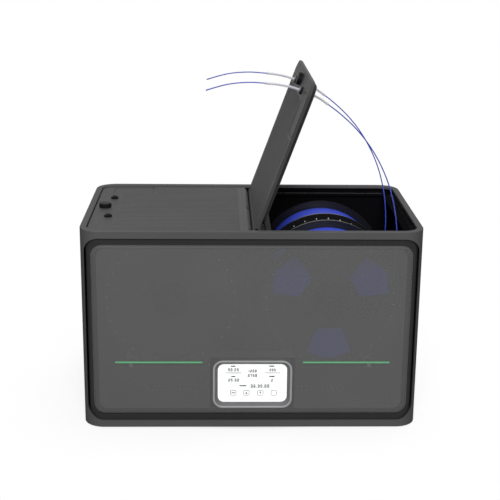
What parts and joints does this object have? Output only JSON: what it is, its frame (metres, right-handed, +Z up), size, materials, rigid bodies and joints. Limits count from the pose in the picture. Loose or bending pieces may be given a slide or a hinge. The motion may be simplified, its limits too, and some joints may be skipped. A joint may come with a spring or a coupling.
{
  "type": "filament dryer box",
  "caption": "Heated dryer box for filament spools, with two hinged lids over two bays, roller-borne spools, a smoked front window and a small display.",
  "frame": {"origin": "middle of the box on the surface it stands on, under its rubber feet", "axes": "+X to the right seen from the front, +Y to the back, +Z up"},
  "size_m": [0.475, 0.29, 0.4911],
  "materials": {
    "case_plastic": "fine matte",
    "trim_black": "matte",
    "window_smoke": "satin smoked",
    "bezel_grey": "satin",
    "screen_glass": "clear",
    "screen_white": "lit",
    "light_green": "lit",
    "tub_black": "satin",
    "rubber_black": "matte",
    "steel": "ground",
    "fins": "bare",
    "board_green": "satin",
    "reel_plastic": "satin",
    "roller_grey": "satin",
    "filament_blue": "gloss",
    "filament_dark": "gloss",
    "tube_clear": "milky"
  },
  "bodies": {
    "case": {"outer_case": "case_plastic", "front_frame": "trim_black", "front_window": "window_smoke", "light_bars": "light_green", "screen_bezel": "bezel_grey", "screen_glass": "screen_glass", "screen_panel": "screen_white", "display_pod": "tub_black", "control_board": "board_green", "inner_tub": "tub_black", "base_cover": "case_plastic", "base_screws": "steel", "rubber_feet": "rubber_black", "centre_divider": "tub_black", "hinge_beam": "trim_black", "hinge_pins": "steel", "roller_brackets": "tub_black", "roller_axles": "steel", "fan_frames": "trim_black", "ptc_heaters": "fins", "power_supply": "fins", "humidity_sensor": "bezel_grey", "power_inlet": "trim_black"},
    "left_lid": {"left_lid_cover": "case_plastic", "left_lid_liner": "tub_black", "left_lid_seal": "rubber_black", "left_lid_fittings": "trim_black", "left_lid_plugs": "rubber_black"},
    "right_lid": {"right_lid_cover": "case_plastic", "right_lid_liner": "tub_black", "right_lid_seal": "rubber_black", "right_lid_fittings": "trim_black", "feed_tubes": "tube_clear", "filament_ends": "filament_blue", "filament_leads": "filament_blue"},
    "left_vent": {"left_vent_knob": "trim_black"},
    "right_vent": {"right_vent_knob": "trim_black"},
    "left_front_spool": {"left_front_reel": "reel_plastic", "left_front_winding_core": "filament_dark", "left_front_winding_turns": "filament_dark"},
    "left_front_roller_a": {"left_front_roller_a": "roller_grey"},
    "left_front_roller_b": {"left_front_roller_b": "roller_grey"},
    "left_rear_spool": {"left_rear_reel": "reel_plastic", "left_rear_winding_core": "filament_dark", "left_rear_winding_turns": "filament_dark"},
    "left_rear_roller_a": {"left_rear_roller_a": "roller_grey"},
    "left_rear_roller_b": {"left_rear_roller_b": "roller_grey"},
    "right_front_spool": {"right_front_reel": "reel_plastic", "right_front_winding_core": "filament_blue", "right_front_winding_turns": "filament_blue"},
    "right_front_roller_a": {"right_front_roller_a": "roller_grey"},
    "right_front_roller_b": {"right_front_roller_b": "roller_grey"},
    "right_rear_spool": {"right_rear_reel": "reel_plastic", "right_rear_winding_core": "filament_blue", "right_rear_winding_turns": "filament_blue"},
    "right_rear_roller_a": {"right_rear_roller_a": "roller_grey"},
    "right_rear_roller_b": {"right_rear_roller_b": "roller_grey"},
    "left_fan": {"left_fan_impeller": "trim_black"},
    "right_fan": {"right_fan_impeller": "trim_black"},
    "rocker": {"power_rocker": "trim_black"}
  },
  "joints": [
    {"name": "left_lid_hinge", "type": "hinge", "parent": "case", "child": "left_lid", "pos_m": [-0.007, 0, 0.282], "axis": [0, 1, 0], "range_deg": [0, 66]},
    {"name": "right_lid_hinge", "type": "hinge", "parent": "case", "child": "right_lid", "pos_m": [0.007, 0, 0.282], "axis": [0, -1, 0], "range_deg": [-70, 0], "deforming": ["filament_leads"]},
    {"name": "left_vent_turn", "type": "hinge", "parent": "left_lid", "child": "left_vent", "pos_m": [-0.213, 0, 0.2875], "axis": [0, 0, 1], "range_deg": [0, 90]},
    {"name": "right_vent_turn", "type": "hinge", "parent": "right_lid", "child": "right_vent", "pos_m": [0.07229, 0, 0.47746], "axis": [-0.9397, 0, 0.342], "range_deg": [0, 90]},
    {"name": "left_front_spool_spin", "type": "hinge", "parent": "case", "child": "left_front_spool", "pos_m": [-0.114, -0.05, 0.173], "axis": [0, -1, 0], "continuous": true},
    {"name": "left_front_roller_a_spin", "type": "hinge", "parent": "case", "child": "left_front_roller_a", "pos_m": [-0.17139, -0.05, 0.08116], "axis": [0, -1, 0], "continuous": true},
    {"name": "left_front_roller_b_spin", "type": "hinge", "parent": "case", "child": "left_front_roller_b", "pos_m": [-0.05661, -0.05, 0.08116], "axis": [0, -1, 0], "continuous": true},
    {"name": "left_rear_spool_spin", "type": "hinge", "parent": "case", "child": "left_rear_spool", "pos_m": [-0.114, 0.068, 0.173], "axis": [0, -1, 0], "continuous": true},
    {"name": "left_rear_roller_a_spin", "type": "hinge", "parent": "case", "child": "left_rear_roller_a", "pos_m": [-0.17139, 0.068, 0.08116], "axis": [0, -1, 0], "continuous": true},
    {"name": "left_rear_roller_b_spin", "type": "hinge", "parent": "case", "child": "left_rear_roller_b", "pos_m": [-0.05661, 0.068, 0.08116], "axis": [0, -1, 0], "continuous": true},
    {"name": "right_front_spool_spin", "type": "hinge", "parent": "case", "child": "right_front_spool", "pos_m": [0.114, -0.05, 0.173], "axis": [0, -1, 0], "continuous": true},
    {"name": "right_front_roller_a_spin", "type": "hinge", "parent": "case", "child": "right_front_roller_a", "pos_m": [0.05661, -0.05, 0.08116], "axis": [0, -1, 0], "continuous": true},
    {"name": "right_front_roller_b_spin", "type": "hinge", "parent": "case", "child": "right_front_roller_b", "pos_m": [0.17139, -0.05, 0.08116], "axis": [0, -1, 0], "continuous": true},
    {"name": "right_rear_spool_spin", "type": "hinge", "parent": "case", "child": "right_rear_spool", "pos_m": [0.114, 0.068, 0.173], "axis": [0, -1, 0], "continuous": true},
    {"name": "right_rear_roller_a_spin", "type": "hinge", "parent": "case", "child": "right_rear_roller_a", "pos_m": [0.05661, 0.068, 0.08116], "axis": [0, -1, 0], "continuous": true},
    {"name": "right_rear_roller_b_spin", "type": "hinge", "parent": "case", "child": "right_rear_roller_b", "pos_m": [0.17139, 0.068, 0.08116], "axis": [0, -1, 0], "continuous": true},
    {"name": "left_fan_spin", "type": "hinge", "parent": "case", "child": "left_fan", "pos_m": [-0.114, 0.01, 0.033], "axis": [0, 0, 1], "continuous": true},
    {"name": "right_fan_spin", "type": "hinge", "parent": "case", "child": "right_fan", "pos_m": [0.114, 0.01, 0.033], "axis": [0, 0, 1], "continuous": true},
    {"name": "power_rocker_tilt", "type": "hinge", "parent": "case", "child": "rocker", "pos_m": [-0.165, 0.141, 0.0435], "axis": [1, 0, 0], "range_deg": [-16, 0]}
  ],
  "couplings": [
    {"joint": "left_front_roller_a_spin", "follows": "left_front_spool_spin", "ratio": -11},
    {"joint": "left_front_roller_b_spin", "follows": "left_front_spool_spin", "ratio": -11},
    {"joint": "left_rear_roller_a_spin", "follows": "left_rear_spool_spin", "ratio": -11},
    {"joint": "left_rear_roller_b_spin", "follows": "left_rear_spool_spin", "ratio": -11},
    {"joint": "right_front_roller_a_spin", "follows": "right_front_spool_spin", "ratio": -11},
    {"joint": "right_front_roller_b_spin", "follows": "right_front_spool_spin", "ratio": -11},
    {"joint": "right_rear_roller_a_spin", "follows": "right_rear_spool_spin", "ratio": -11},
    {"joint": "right_rear_roller_b_spin", "follows": "right_rear_spool_spin", "ratio": -11}
  ]
}
